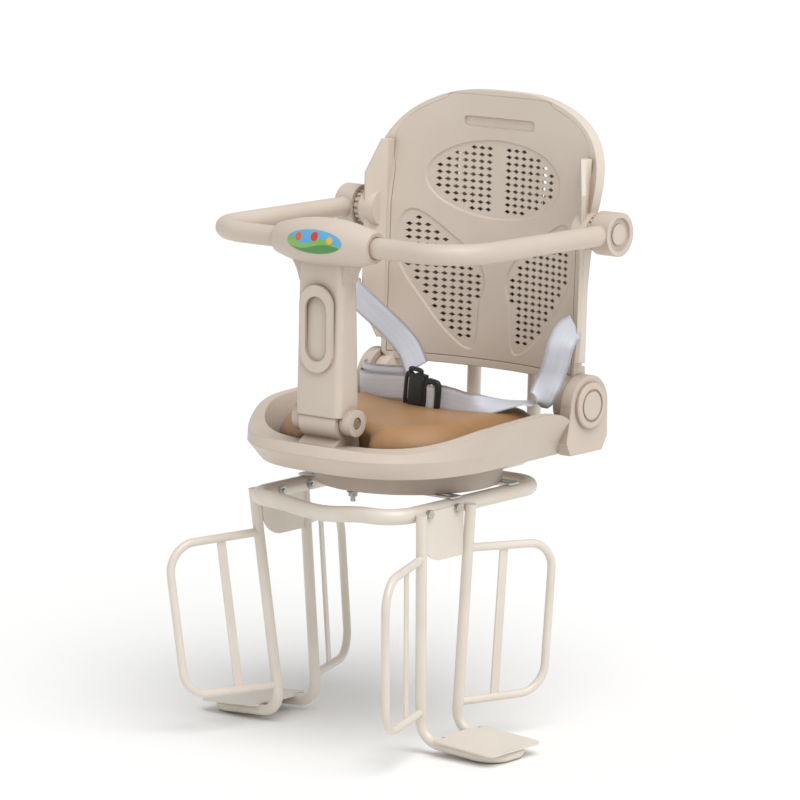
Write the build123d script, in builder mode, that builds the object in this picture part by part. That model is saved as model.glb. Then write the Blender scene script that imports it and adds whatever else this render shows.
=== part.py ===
import math
import os

from build123d import *

# Rack frame: one bent steel tube that lies on the bicycle's rear rack.
RAIL_D = 19.0
RAIL_Z = RAIL_D / 2
FRAME_X = 110.0
FRAME_FRONT = -147.0
FRAME_REAR = 134.0
FRAME_BEND = 35.0
FRONT_DIP = 6.0

# Cross straps, base disc and clamp studs between the rack frame and the pan.
STRAP_W = 20.0
STRAP_T = 2.5
STRAP_REACH = 117.0
STRAP_Y = (-38.0, 74.0)
DISC_Y = sum(STRAP_Y) / 2
DISC_R = 112.0
DISC_WALL = 4.0
DISC_BOTTOM = RAIL_D + STRAP_T
STUD_R = 3.2
STUD_END_R = 3.0
STUD_END = 5.5
STUD_REACH = (-104.0, 95.0)
STUD_FOOT = 8.0
STUD_HEAD_T = 3.0
BOLT_GAP = 0.2

# Seat pan: plan is a half ellipse in front and straight tapered sides behind.
PAN_MID = 3.0
PAN_BOTTOM = 52.0
PAN_CREASE = 74.0
PAN_RIM = 112.0
PAN_FLOOR = 68.0
PAN_FLOOR_T = 4.0
DISC_TOP = PAN_FLOOR - PAN_FLOOR_T
PAN_CORNER = 34.0
PAN_TAPER = 5.0
PAN_LOW = (146.0, 158.0, 168.0)
PAN_MIDDLE = (158.0, 177.0, 180.0)
PAN_TOP = (174.0, 154.0, 187.0)
PAN_SQUARE = 2.7
BOWL_LOW = (138.0, 134.0, 166.0)
BOWL_TOP = (163.0, 147.0, 178.0)
RIM_FRONT = 92.0
RIM_THIGH = (-108.0, 89.0)
RIM_SIDE = (15.0, 110.0)
RIM_REAR = 77.0
PAN_WALL = 8.0

# Folding linkage: four parallel hinge axes, the two links being equal.
BACK_HINGE = (156.2, 108.5)
POST_HINGE = (-131.7, 111.5)
LINK = (-2.5, 208.0)
ARM_HINGE = (BACK_HINGE[0] + LINK[0], BACK_HINGE[1] + LINK[1])
BAR_AXIS = (POST_HINGE[0] + LINK[0], POST_HINGE[1] + LINK[1])
RUNNING = 0.05
SWING_GAP = 0.8

# Ears of the pan and the hinge of the backrest.
EAR_X = (147.0, 163.0)
EAR_R = 36.0
EAR_FOOT = (112.0, 190.0)
ARM_X = (130.0, 146.0)
ARM_R = 28.0
ARM_NECK = 13.0
HINGE_PIN_R = 6.0
CAP_R = 27.5
CAP_T = 5.0

# Pedestal of the pan and clevis of the post.
PEDESTAL_X = 27.5
BARREL_R = 22.4
PEDESTAL_NECK = (-12.5, -19.8)
PEDESTAL_SHOULDER = -26.5
KNUCKLE_X = 43.0
KNUCKLE_R = 16.0
POST_PIN_R = 4.0
POST_HEAD_R = 6.0
POST_HEAD_T = 3.0

# Front post and its head.
POST_HALF = 33.0
POST_FRONT = 23.0
POST_BACK = 18.0
POST_ROUND = 8.0
HEAD_X = 71.0
HEAD_END_R = 18.0
HEAD_MID_R = 29.0
HEAD_FLARE = 45.0
RING_SIZE = (49.0, 103.0)
RING_GROOVE = (31.0, 76.0)
RING_T = 2.0
RING_Z = 221.0
BADGE_SIZE = (80.0, 27.0)
BADGE_T = 0.6
BADGE_UP = 4.0

# Guard bar of the armrest.
BAR_R = 12.25
BAR_GAP = 0.5
BAR_HALF = 190.0
BAR_BEND = 65.0
DRUM_X = (BAR_HALF - 10.0, BAR_HALF + 16.0)
DRUM_R = 26.0
DISH_R = 20.0
DISH_T = 3.0
DRUM_CAP_R = 13.0
DRUM_CAP_T = 2.0
PIVOT_R = 6.0

# Backrest: its hollow front face flattens towards the top, leaned back a little.
BACK_Y = 180.0
BACK_Z = 154.0
BACK_LEAN = 1.95
BACK_CURVE = ((-22.0, 340.0), (170.0, 360.0), (313.0, 2500.0))
BACK_SPAN = 400.0
BACK_T = 16.0
BACK_WALL = 3.0
PANEL_T = 3.5
PANEL_GAP = 0.8
PANEL_LEDGE = 6.0
SHELL_LOW = BACK_CURVE[0][0]
SHELL_TOP = BACK_CURVE[-1][0]
PANEL_LOW = -12.0
PANEL_TOP = 306.0
PANEL_HALF = 140.0
PANEL_SIDE_TOP = 205.0
BOSS_R = 22.0
BOSS_IN = 150.0
BOSS_OUT = DRUM_X[0] - 8.0
RATCHET_R = 21.0
RATCHET_TEETH = 18
WING_ROOT = (144.0, -32.0)
WING_BACK = 12.0
WING_T = 4.0
WING_TIP = (163.0, -52.0)
WING_LEVELS = ((4.0, 0.3), (44.0, 1.0), (205.0, 1.0), (246.0, 0.3))
SLOT_X = 64.0
SLOT_SIZE = (9.0, 84.0)
GRIP_Z = 274.0
GRIP_SIZE = (106.0, 13.6)
GRIP_DEPTH = 2.2

# Holes of the panel.
HOLE_W = 8.0
HOLE_H = 4.8
HOLE_PITCH_X = 11.6
HOLE_PITCH_Z = 8.2
FIELD_DEPTH = 1.0
FIELD_RIM = 6.0
HOLE_FIRST = 14.5
HOLE_COLUMNS = 11
FIELD_SIZE = (96.0, 42.0)
FIELD_Z = 206.0

# Steel hoop that stops the backrest from behind.
HOOP_R = 8.5
HOOP_X = 46.0
HOOP_BEND = 30.0
HOOP_TOP = 300.0
HOOP_GAP = 0.4

# Leg frames with foot plates and guards, right side.
LEG_R = 6.5
LEG_TOP = 12.0
LEG_FOOT = -262.0
LEG_X = (126.6, 107.0)
LEG_FRONT = (-116.5, -90.0)
LEG_REAR = (-24.0, -22.0)
LEG_BEND = 26.0
LOOP_OUT = 213.0
LOOP_DROP = 7.0
PLATE_T = 2.0
PLATE_X = (132.0, 222.0)
PLATE_MARGIN = 15.0
GUARD_R = 5.0
GUARD_TOP = -41.0
GUARD_LOW = -228.0
GUARD_BEND = 34.0
GUARD_DROP = 5.0
FRONT_REACH = (41.5, -118.0)
REAR_REACH = (39.7, 113.0)
GUARD_BAR_AT = 0.42
GUARD_BAR_W = 11.5
GUARD_BAR_T = 3.0
TONGUE_T = 2.0
TONGUE_LOW = -48.0
TONGUE_WAIST = -8.0
TONGUE_SWEEP = 34.0
BOLT_R = 3.0
BOLT_Y = (-97.0, -44.0)
HEX_AF = 10.0
HEX_T = 4.5

# Cushion.
CUSHION_SIDE = 134.0
CUSHION_FRONT = 130.0
CUSHION_REAR = 125.0
CUSHION_TOP = 101.0
CUSHION_ROUND = 20.0
CUSHION_NOTCH = (48.0, -106.0)

# Harness webbing and buckle.
WEB_W = 32.0
WEB_T = 1.6
BUCKLE = (2.0, 36.0, 131.0)
BUCKLE_H = 42.0
BUCKLE_T = 12.0
FEMALE_W = 24.0
MALE_W = 20.0

os.makedirs("parts", exist_ok=True)


def save(part, name):
    """Writes one named piece."""
    part.label = name
    export_step(part, f"parts/{name}.step")


def save_pair(part, name):
    """Writes the right piece and its mirror image on the left."""
    save(part, f"{name}_right")
    save(mirror(part, about=Plane.YZ), f"{name}_left")


def bent_path(points, radius):
    """Straight runs between the points, joined by tangent bends of one radius."""
    start = Vector(*points[0])
    for before, corner, after in zip(points, points[1:], points[2:]):
        corner = Vector(*corner)
        back = (Vector(*before) - corner).normalized()
        ahead = (Vector(*after) - corner).normalized()
        half = math.radians(back.get_angle(ahead)) / 2
        reach = radius / math.tan(half)
        middle = corner + (back + ahead).normalized() * (radius / math.sin(half) - radius)
        if (corner + back * reach - start).length > 0.01:
            Line(start, corner + back * reach)
        ThreePointArc(corner + back * reach, middle, corner + ahead * reach)
        start = corner + ahead * reach
    Line(start, Vector(*points[-1]))


def leg_point(side, z):
    """Centre of the front or rear leg of the right side at a height."""
    share = (LEG_TOP - z) / (LEG_TOP - LEG_FOOT)
    x = LEG_X[0] + (LEG_X[1] - LEG_X[0]) * share
    y = side[0] + (side[1] - side[0]) * share
    return (x, y, z)


def pan_face(size, inset, z):
    """Plan outline of the pan at a height, moved in by an inset: a squarish half oval
    in front, whose powers of both shares add up to one, and tapered sides behind."""
    side, front, rear = (value - inset for value in size)
    with BuildSketch(Plane.XY.offset(z)) as face:
        with BuildLine():
            turns = [math.pi * step / 16 for step in range(17)]
            power = 2 / PAN_SQUARE
            oval = [
                (
                    math.copysign(abs(math.cos(turn)) ** power, -math.cos(turn)) * side,
                    PAN_MID - math.sin(turn) ** power * front,
                )
                for turn in turns
            ]
            Spline(*oval, tangents=((0, -1), (0, 1)))
            Polyline(
                (side, PAN_MID),
                (side - PAN_TAPER, rear),
                (PAN_TAPER - side, rear),
                (-side, PAN_MID),
            )
        make_face()
        fillet(face.vertices().group_by(Axis.Y)[-1], PAN_CORNER - inset)
    return face.sketch


# Rack frame, swept as one half and mirrored.
frame_side = [
    (FRAME_X - FRAME_BEND, FRAME_FRONT, RAIL_Z),
    (FRAME_X, FRAME_FRONT, RAIL_Z),
    (FRAME_X, FRAME_REAR, RAIL_Z),
    (0, FRAME_REAR, RAIL_Z),
]
with BuildPart() as mount_frame:
    with BuildLine() as frame_run:
        Spline(
            (0, FRAME_FRONT, RAIL_Z - FRONT_DIP),
            frame_side[0],
            tangents=((1, 0, 0), (1, 0, 0)),
        )
        bent_path(frame_side, FRAME_BEND)
    with BuildSketch(Plane(origin=(0, FRAME_FRONT, RAIL_Z - FRONT_DIP), z_dir=(1, 0, 0))):
        Circle(RAIL_D / 2)
    sweep(path=frame_run.wires()[0])
    mirror(about=Plane.YZ)
    with Locations(*[(0, y, RAIL_Z) for y in BOLT_Y]):
        Cylinder(BOLT_R + BOLT_GAP, 3 * FRAME_X, rotation=(0, 90, 0), mode=Mode.SUBTRACT)
save(mount_frame.part, "mount_frame")

# Galvanised cross straps with slotted ends.
for name, strap_y in zip(("front", "rear"), STRAP_Y):
    with BuildPart() as cross_strap:
        with BuildSketch(Plane.XY.offset(RAIL_D)):
            with Locations((0, strap_y)):
                RectangleRounded(2 * STRAP_REACH, STRAP_W, STRAP_W / 5)
            with Locations((STRAP_REACH - STRAP_W, strap_y), (STRAP_W - STRAP_REACH, strap_y)):
                SlotOverall(STRAP_W, STRAP_W / 3, mode=Mode.SUBTRACT)
        extrude(amount=STRAP_T)
    save(cross_strap.part, f"cross_strap_{name}")

# Round base disc, open below, with holes for the clamp studs.
stud_spots = [(0, DISC_Y + reach) for reach in STUD_REACH]
with BuildPart() as base_disc:
    with BuildSketch(Plane.XY.offset(DISC_BOTTOM)):
        with Locations((0, DISC_Y)):
            Circle(DISC_R)
    extrude(amount=DISC_TOP - DISC_BOTTOM)
    with BuildSketch(Plane.XY.offset(DISC_BOTTOM)):
        with Locations((0, DISC_Y)):
            Circle(DISC_R - DISC_WALL)
    extrude(amount=DISC_TOP - DISC_BOTTOM - DISC_WALL, mode=Mode.SUBTRACT)
    with BuildSketch(Plane.XY.offset(DISC_TOP)):
        with Locations(*stud_spots):
            Circle(STUD_R + BOLT_GAP)
    extrude(amount=-DISC_WALL, mode=Mode.SUBTRACT)
save(base_disc.part, "base_disc")

# Clamp studs that hang through the disc, and their flange nuts.
with BuildPart() as clamp_studs:
    with BuildSketch(Plane.XY.offset(STUD_FOOT)):
        with Locations(*stud_spots):
            Circle(STUD_END_R)
    extrude(amount=STUD_END)
    with BuildSketch(Plane.XY.offset(STUD_FOOT + STUD_END)):
        with Locations(*stud_spots):
            Circle(STUD_R)
    extrude(amount=DISC_TOP - STUD_FOOT - STUD_END)
    with BuildSketch(Plane.XY.offset(DISC_TOP)):
        with Locations(*stud_spots):
            RegularPolygon(HEX_AF / 2, 6, major_radius=False)
    extrude(amount=STUD_HEAD_T)
save(clamp_studs.part, "clamp_studs")

with BuildPart() as clamp_nuts:
    with BuildSketch(Plane.XY.offset(RAIL_D - HEX_T)):
        with Locations(*stud_spots):
            RegularPolygon(HEX_AF / 2, 6, major_radius=False)
    extrude(amount=HEX_T)
    with BuildSketch(Plane.XY.offset(RAIL_D)):
        with Locations(*stud_spots):
            Circle(HEX_AF * 0.7)
    extrude(amount=STRAP_T / 2)
    with BuildSketch(Plane.XY.offset(RAIL_D - HEX_T)):
        with Locations(*stud_spots):
            Circle(STUD_R + RUNNING)
    extrude(amount=HEX_T + STRAP_T, mode=Mode.SUBTRACT)
save(clamp_nuts.part, "clamp_nuts")

# Seat pan: lofted tub with ears for the backrest and a pedestal for the post.
pan_under = PAN_FLOOR - PAN_FLOOR_T
barrel_centre = (0, POST_HINGE[0], POST_HINGE[1])
with BuildPart() as pan_tub:
    add(pan_face(PAN_LOW, 0, PAN_BOTTOM))
    add(pan_face(PAN_MIDDLE, 0, PAN_CREASE))
    add(pan_face(PAN_TOP, 0, PAN_RIM))
    loft(ruled=True)
with BuildPart() as pan_inside:
    add(pan_face(BOWL_LOW, 0, PAN_FLOOR))
    add(pan_face(BOWL_TOP, 0, PAN_RIM))
    loft(ruled=True)
with BuildPart() as pan_below:
    add(pan_face(PAN_LOW, PAN_WALL, PAN_BOTTOM))
    add(pan_face(PAN_LOW, PAN_WALL / 2, pan_under))
    loft(ruled=True)
with BuildPart() as pan_above:
    with BuildSketch(Plane.YZ):
        with BuildLine():
            Spline(
                (-PAN_MIDDLE[1] - PAN_WALL, RIM_FRONT),
                RIM_THIGH,
                (RIM_THIGH[0] / 2, RIM_SIDE[1] - 6),
                RIM_SIDE,
                (EAR_FOOT[0] - PAN_WALL, RIM_SIDE[1] - PAN_WALL),
                (BACK_HINGE[0], RIM_REAR),
                (PAN_TOP[2] + PAN_WALL, RIM_REAR),
            )
            Polyline(
                (PAN_TOP[2] + PAN_WALL, RIM_REAR),
                (PAN_TOP[2] + PAN_WALL, 2 * PAN_RIM),
                (-PAN_MIDDLE[1] - PAN_WALL, 2 * PAN_RIM),
                (-PAN_MIDDLE[1] - PAN_WALL, RIM_FRONT),
            )
        make_face()
    extrude(amount=2 * PAN_TOP[0], both=True)
with BuildPart() as pan_ears:
    with BuildSketch(Plane.YZ.offset(EAR_X[0])):
        with Locations(BACK_HINGE):
            Circle(EAR_R)
        with BuildLine():
            Polyline(
                (EAR_FOOT[0], PAN_FLOOR),
                (BACK_HINGE[0] - EAR_R, BACK_HINGE[1]),
                (BACK_HINGE[0] + EAR_R, BACK_HINGE[1]),
                (BACK_HINGE[0] + EAR_R, PAN_FLOOR),
                (EAR_FOOT[1] - PAN_WALL, PAN_BOTTOM),
                (EAR_FOOT[0] + PAN_WALL, PAN_BOTTOM),
                close=True,
            )
        make_face()
    extrude(amount=EAR_X[1] - EAR_X[0])
    mirror(about=Plane.YZ)
with BuildPart() as seat_pan:
    add(pan_tub.part)
    add(pan_inside.part, mode=Mode.SUBTRACT)
    add(pan_below.part, mode=Mode.SUBTRACT)
    add(pan_above.part, mode=Mode.SUBTRACT)
    add(pan_ears.part)
    with BuildSketch(Plane.YZ.offset(-PEDESTAL_X)):
        with Locations(POST_HINGE):
            Circle(BARREL_R)
            Polygon(
                PEDESTAL_NECK,
                (-POST_FRONT, PEDESTAL_SHOULDER),
                (-POST_FRONT - 6, PAN_FLOOR - POST_HINGE[1]),
                (24, PAN_FLOOR - POST_HINGE[1]),
                (20, 0),
                align=None,
            )
    extrude(amount=2 * PEDESTAL_X)
    with BuildSketch(Plane.XY.offset(pan_under)):
        with Locations(*stud_spots):
            Circle(HEX_AF * 0.7)
    extrude(amount=STUD_HEAD_T + BOLT_GAP, mode=Mode.SUBTRACT)
    with Locations((0, BACK_HINGE[0], BACK_HINGE[1])):
        Cylinder(HINGE_PIN_R + 0.1, 3 * EAR_X[1], rotation=(0, 90, 0), mode=Mode.SUBTRACT)
    with Locations(barrel_centre):
        Cylinder(POST_PIN_R + 0.1, 3 * PEDESTAL_X, rotation=(0, 90, 0), mode=Mode.SUBTRACT)
save(seat_pan.part, "seat_pan")

# Cushion with a notch for the pedestal.
with BuildPart() as seat_cushion:
    for share, inset in ((0.0, 0.15), (0.35, 0.0), (0.75, 0.3), (1.0, 1.0)):
        level = PAN_FLOOR + (CUSHION_TOP - PAN_FLOOR) * share
        add(pan_face((CUSHION_SIDE, CUSHION_FRONT, CUSHION_REAR), CUSHION_ROUND * inset, level))
    loft()
    with BuildSketch(Plane.XY.offset(PAN_FLOOR)):
        with Locations((0, CUSHION_NOTCH[1] - CUSHION_FRONT / 2)):
            RectangleRounded(2 * CUSHION_NOTCH[0], CUSHION_FRONT, CUSHION_NOTCH[0] / 4)
    extrude(amount=CUSHION_TOP, mode=Mode.SUBTRACT)
save(seat_cushion.part, "seat_cushion")

# Hinge pins and round caps of the ears.
with BuildPart() as hinge_pins:
    with BuildSketch(Plane.YZ.offset(ARM_X[0] - 2)):
        with Locations(BACK_HINGE):
            Circle(HINGE_PIN_R)
    extrude(amount=EAR_X[1] - ARM_X[0] + 2)
    with BuildSketch(Plane.YZ.offset(ARM_X[0] - 5)):
        with Locations(BACK_HINGE):
            Circle(HINGE_PIN_R * 1.6)
    extrude(amount=5 - SWING_GAP)
    mirror(about=Plane.YZ)
save(hinge_pins.part, "hinge_pins")

with BuildPart() as hinge_cap:
    with BuildSketch(Plane.YZ.offset(EAR_X[1])):
        with Locations(BACK_HINGE):
            Circle(CAP_R)
    extrude(amount=CAP_T)
    chamfer(hinge_cap.faces().sort_by(Axis.X)[-1].edges(), 1.5)
    with BuildSketch(Plane.YZ.offset(EAR_X[1] + CAP_T)):
        with Locations(BACK_HINGE):
            Circle(CAP_R * 0.72)
            Circle(CAP_R * 0.62, mode=Mode.SUBTRACT)
    extrude(amount=-1.5, mode=Mode.SUBTRACT)
save_pair(hinge_cap.part, "hinge_cap")

# Hoop behind the backrest, welded on the rear run of the frame.
lean = math.tan(math.radians(BACK_LEAN))
shell_back = BACK_Y + BACK_T
hoop_y = shell_back + HOOP_R + HOOP_GAP
hoop_low = RAIL_D + HOOP_R
hoop_start = (HOOP_X, DISC_Y + DISC_R - 6, hoop_low)
hoop_side = [
    hoop_start,
    (HOOP_X, hoop_y + (hoop_low - BACK_Z) * lean, hoop_low),
    (HOOP_X, hoop_y + (HOOP_TOP - BACK_Z) * lean, HOOP_TOP),
    (0, hoop_y + (HOOP_TOP - BACK_Z) * lean, HOOP_TOP),
]
with BuildPart() as back_hoop:
    with BuildLine() as hoop_run:
        bent_path(hoop_side, HOOP_BEND)
    with BuildSketch(Plane(origin=hoop_start, z_dir=(0, 1, 0))):
        Circle(HOOP_R)
    sweep(path=hoop_run.wires()[0])
    mirror(about=Plane.YZ)
save(back_hoop.part, "back_hoop")

# Backrest shell and perforated panel on the leaned frame.
back_up = Vector(0, 0, 1).rotate(Axis.X, -BACK_LEAN)
BACK = Plane(origin=(0, BACK_Y, BACK_Z), x_dir=(1, 0, 0), z_dir=back_up)
FACE = Plane(origin=BACK.origin, x_dir=(1, 0, 0), z_dir=-BACK.y_dir)


def back_sector(front, rear):
    """Upright wall between two depths behind the front face of the backrest."""
    with BuildPart() as wall:
        for level, radius in BACK_CURVE:
            with BuildSketch(BACK.offset(level)):
                with Locations((0, rear - radius)):
                    Circle(radius)
                with Locations((0, front - radius)):
                    Circle(radius, mode=Mode.SUBTRACT)
                Rectangle(BACK_SPAN, BACK_SPAN, mode=Mode.INTERSECT)
        loft(ruled=True)
    return wall.part


def shell_outline():
    """Front view of the shell with its side wings."""
    with BuildSketch(FACE) as face:
        with BuildLine():
            Polyline((0, SHELL_LOW), (138, SHELL_LOW), (146, -14), (146, 2), (150, 10))
            Spline(
                (150, 10),
                (152, 90),
                (158, 140),
                (166, 190),
                (161, 242),
                (132, 280),
                (84, 304),
                (0, SHELL_TOP),
                tangents=((0.03, 1), (-1, 0)),
            )
            Line((0, SHELL_TOP), (0, SHELL_LOW))
        make_face()
        mirror(about=Plane.YZ)
    return face.sketch


def panel_outline(inset):
    """Front view of the panel, moved in by an inset."""
    side = PANEL_HALF - inset
    low = PANEL_LOW + inset
    with BuildSketch(FACE) as face:
        with BuildLine():
            Polyline((0, low), (side, low), (side, PANEL_SIDE_TOP))
            Spline(
                (side, PANEL_SIDE_TOP),
                (147 - inset, 240),
                (128 - 0.8 * inset, 275 - 0.6 * inset),
                (80 - 0.3 * inset, 299 - inset),
                (0, PANEL_TOP - inset),
                tangents=((0, 1), (-1, 0)),
            )
            Line((0, PANEL_TOP - inset), (0, low))
        make_face()
        mirror(about=Plane.YZ)
    return face.sketch


def back_piece(front, rear, outline):
    """Part of the curved wall inside a front outline."""
    with BuildPart() as piece:
        add(back_sector(front, rear))
        extrude(outline, amount=BACK_SPAN, both=True, mode=Mode.INTERSECT)
    return piece.part


# Pivot bolts of the guard bar, moulded into the bosses.
with BuildPart() as pivot_bolts:
    with BuildSketch(Plane.YZ.offset(BOSS_IN + 4)):
        with Locations(ARM_HINGE):
            Circle(PIVOT_R)
    extrude(amount=DRUM_X[1] - DISH_T - 4 - BOSS_IN - 4)
    mirror(about=Plane.YZ)
save(pivot_bolts.part, "pivot_bolts")

# Side wings that run forward along both edges of the shell.
with BuildPart() as side_wings:
    for level, share in WING_LEVELS:
        wing_x = WING_ROOT[0] + (WING_TIP[0] - WING_ROOT[0]) * share
        wing_y = WING_ROOT[1] + (WING_TIP[1] - WING_ROOT[1]) * share
        with BuildSketch(BACK.offset(level)):
            Polygon(
                WING_ROOT,
                (wing_x, wing_y),
                (wing_x + WING_T, wing_y + WING_T),
                (WING_ROOT[0] + WING_BACK, WING_ROOT[1] + 2 * WING_T),
                (WING_ROOT[0], WING_ROOT[1] + WING_BACK),
                align=None,
            )
    loft(ruled=True)
    mirror(about=Plane.YZ)

seat_for_panel = back_piece(-1, PANEL_T, panel_outline(-PANEL_GAP))
hollow = back_piece(-1, BACK_T - BACK_WALL, panel_outline(PANEL_LEDGE))
with BuildPart() as shell_arms:
    with BuildSketch(Plane.YZ.offset(ARM_X[0])):
        with Locations(BACK_HINGE):
            Circle(ARM_R)
        with BuildLine():
            Polyline(
                (BACK_HINGE[0] - ARM_R, BACK_HINGE[1]),
                (BACK_HINGE[0] - ARM_NECK / 2, BACK_HINGE[1] + ARM_R),
                (BACK_HINGE[0], BACK_Z - 2),
                (BACK_HINGE[0] + ARM_NECK, BACK_Z - 2),
                (BACK_HINGE[0] + ARM_NECK, BACK_HINGE[1] + ARM_R),
                (BACK_HINGE[0] + ARM_R, BACK_HINGE[1]),
                close=True,
            )
        make_face()
    extrude(amount=ARM_X[1] - ARM_X[0])
    with BuildSketch(Plane.YZ.offset(BOSS_IN)):
        with Locations(ARM_HINGE):
            Circle(BOSS_R)
    extrude(amount=BOSS_OUT - BOSS_IN)
    mirror(about=Plane.YZ)
with BuildPart() as backrest_shell:
    add(back_piece(0, BACK_T, shell_outline()))
    add(shell_arms.part)
    add(side_wings.part)
    add(seat_for_panel, mode=Mode.SUBTRACT)
    add(hollow, mode=Mode.SUBTRACT)
    with BuildSketch(FACE.offset(-BACK_T / 2)):
        with Locations((SLOT_X, FIELD_Z), (-SLOT_X, FIELD_Z)):
            Rectangle(*SLOT_SIZE)
    extrude(amount=-2 * BACK_T, mode=Mode.SUBTRACT)
    with Locations((0, BACK_HINGE[0], BACK_HINGE[1])):
        Cylinder(HINGE_PIN_R + RUNNING, 3 * EAR_X[1], rotation=(0, 90, 0), mode=Mode.SUBTRACT)
    add(pivot_bolts.part, mode=Mode.SUBTRACT)
save(backrest_shell.part, "backrest_shell")


# Outline of one lower field of holes, from its upper outer tip inwards and down.
WING_FIELD = (
    (114, 158),
    (60, 127),
    (33, 107),
    (21, 83),
    (28, 54),
    (31, 11),
    (40, 4),
    (67, 23),
    (93, 53),
    (120, 90),
    (129, 124),
)


def field_outlines():
    """Front view of the shallow fields around the holes."""
    with BuildSketch(FACE) as face:
        with Locations((0, FIELD_Z)):
            Ellipse(FIELD_SIZE[0] + FIELD_RIM, FIELD_SIZE[1] + FIELD_RIM)
        with BuildSketch(FACE, mode=Mode.PRIVATE) as wing:
            Polygon(*WING_FIELD, align=None)
            offset(amount=FIELD_RIM)
        add(wing.sketch)
        add(mirror(wing.sketch, about=Plane.YZ))
    return face.sketch


def grip_outline():
    """Front view of the long recess near the top of the panel."""
    with BuildSketch(FACE) as face:
        with Locations((0, GRIP_Z)):
            RectangleRounded(*GRIP_SIZE, 3)
    return face.sketch


def inside_field(x, z):
    """True inside the upper oval field or the lower field of a side."""
    if (x / FIELD_SIZE[0]) ** 2 + ((z - FIELD_Z) / FIELD_SIZE[1]) ** 2 < 1:
        return True
    inside = False
    for (x0, z0), (x1, z1) in zip(WING_FIELD, WING_FIELD[1:] + WING_FIELD[:1]):
        if (z0 > z) != (z1 > z) and x < x0 + (x1 - x0) * (z - z0) / (z1 - z0):
            inside = not inside
    return inside


hole_spots = []
for column in range(HOLE_COLUMNS):
    for row in range(-25, 5):
        spot_x = HOLE_FIRST + column * HOLE_PITCH_X
        spot_z = FIELD_Z + (row + 0.5) * HOLE_PITCH_Z
        if inside_field(spot_x, spot_z):
            hole_spots += [(spot_x, spot_z), (-spot_x, spot_z)]
with BuildPart() as backrest_panel:
    add(back_piece(0, PANEL_T, panel_outline(0)))
    add(back_piece(-1, FIELD_DEPTH, field_outlines()), mode=Mode.SUBTRACT)
    add(back_piece(-1, GRIP_DEPTH, grip_outline()), mode=Mode.SUBTRACT)
    with BuildSketch(FACE.offset(BACK_SPAN / 2)):
        with Locations(*hole_spots):
            Polygon((-HOLE_W / 2, 0), (0, HOLE_H / 2), (HOLE_W / 2, 0), (0, -HOLE_H / 2))
    extrude(amount=-BACK_SPAN, mode=Mode.SUBTRACT)
save(backrest_panel.part, "backrest_panel")

# Toothed rings between the backrest and the drums.
with BuildPart() as pivot_ring:
    with BuildSketch(Plane.YZ.offset(BOSS_OUT)):
        with Locations(ARM_HINGE):
            Circle(RATCHET_R)
            Circle(PIVOT_R + RUNNING, mode=Mode.SUBTRACT)
            with PolarLocations(RATCHET_R, RATCHET_TEETH):
                Rectangle(3, 3, mode=Mode.SUBTRACT)
    extrude(amount=DRUM_X[0] - BOSS_OUT - SWING_GAP)
save_pair(pivot_ring.part, "pivot_ring")

# Guard bar with its drums, in the plane through the head and the drums.
bar_side = [
    (0, BAR_AXIS[0], BAR_AXIS[1]),
    (BAR_HALF, BAR_AXIS[0], BAR_AXIS[1]),
    (sum(DRUM_X) / 2, ARM_HINGE[0], ARM_HINGE[1]),
]
with BuildPart() as armrest_bar:
    with BuildLine() as bar_run:
        bent_path(bar_side, BAR_BEND)
    with BuildSketch(Plane(origin=bar_side[0], z_dir=(1, 0, 0))):
        Circle(BAR_R)
    sweep(path=bar_run.wires()[0])
    with BuildSketch(Plane.YZ.offset(DRUM_X[0])):
        with Locations(ARM_HINGE):
            Circle(DRUM_R)
    extrude(amount=DRUM_X[1] - DRUM_X[0])
    with BuildSketch(Plane.YZ.offset(DRUM_X[1])):
        with Locations(ARM_HINGE):
            Circle(DISH_R)
    extrude(amount=-DISH_T, taper=20, mode=Mode.SUBTRACT)
    with BuildSketch(Plane.YZ.offset(DRUM_X[0])):
        with Locations(ARM_HINGE):
            Circle(PIVOT_R + RUNNING)
    extrude(amount=DRUM_X[1] - DRUM_X[0] - DISH_T - 3, mode=Mode.SUBTRACT)
    mirror(about=Plane.YZ)
save(armrest_bar.part, "armrest_bar")

with BuildPart() as drum_cap:
    with BuildSketch(Plane.YZ.offset(DRUM_X[1] - DISH_T)):
        with Locations(ARM_HINGE):
            Circle(DRUM_CAP_R)
    extrude(amount=DRUM_CAP_T)
    chamfer(drum_cap.faces().sort_by(Axis.X)[-1].edges(), 0.8)
save_pair(drum_cap.part, "drum_cap")

# Front post: clevis below, tapered head around the bar above.
HEAD = Plane(origin=(0, BAR_AXIS[0], BAR_AXIS[1]), x_dir=(1, 0, 0), z_dir=(0, -1, 0))
bar_line = Axis((0, BAR_AXIS[0], BAR_AXIS[1]), (1, 0, 0))


def head_body(extra):
    """Spindle shaped head, grown by an extra skin."""
    with BuildPart() as head:
        with BuildSketch(HEAD):
            with BuildLine():
                end = HEAD_END_R + extra
                ThreePointArc((-HEAD_X, end), (0, HEAD_MID_R + extra), (HEAD_X, end))
                Polyline((HEAD_X, end), (HEAD_X, 0), (-HEAD_X, 0), (-HEAD_X, end))
            make_face()
        revolve(axis=bar_line)
    return head.part


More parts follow.
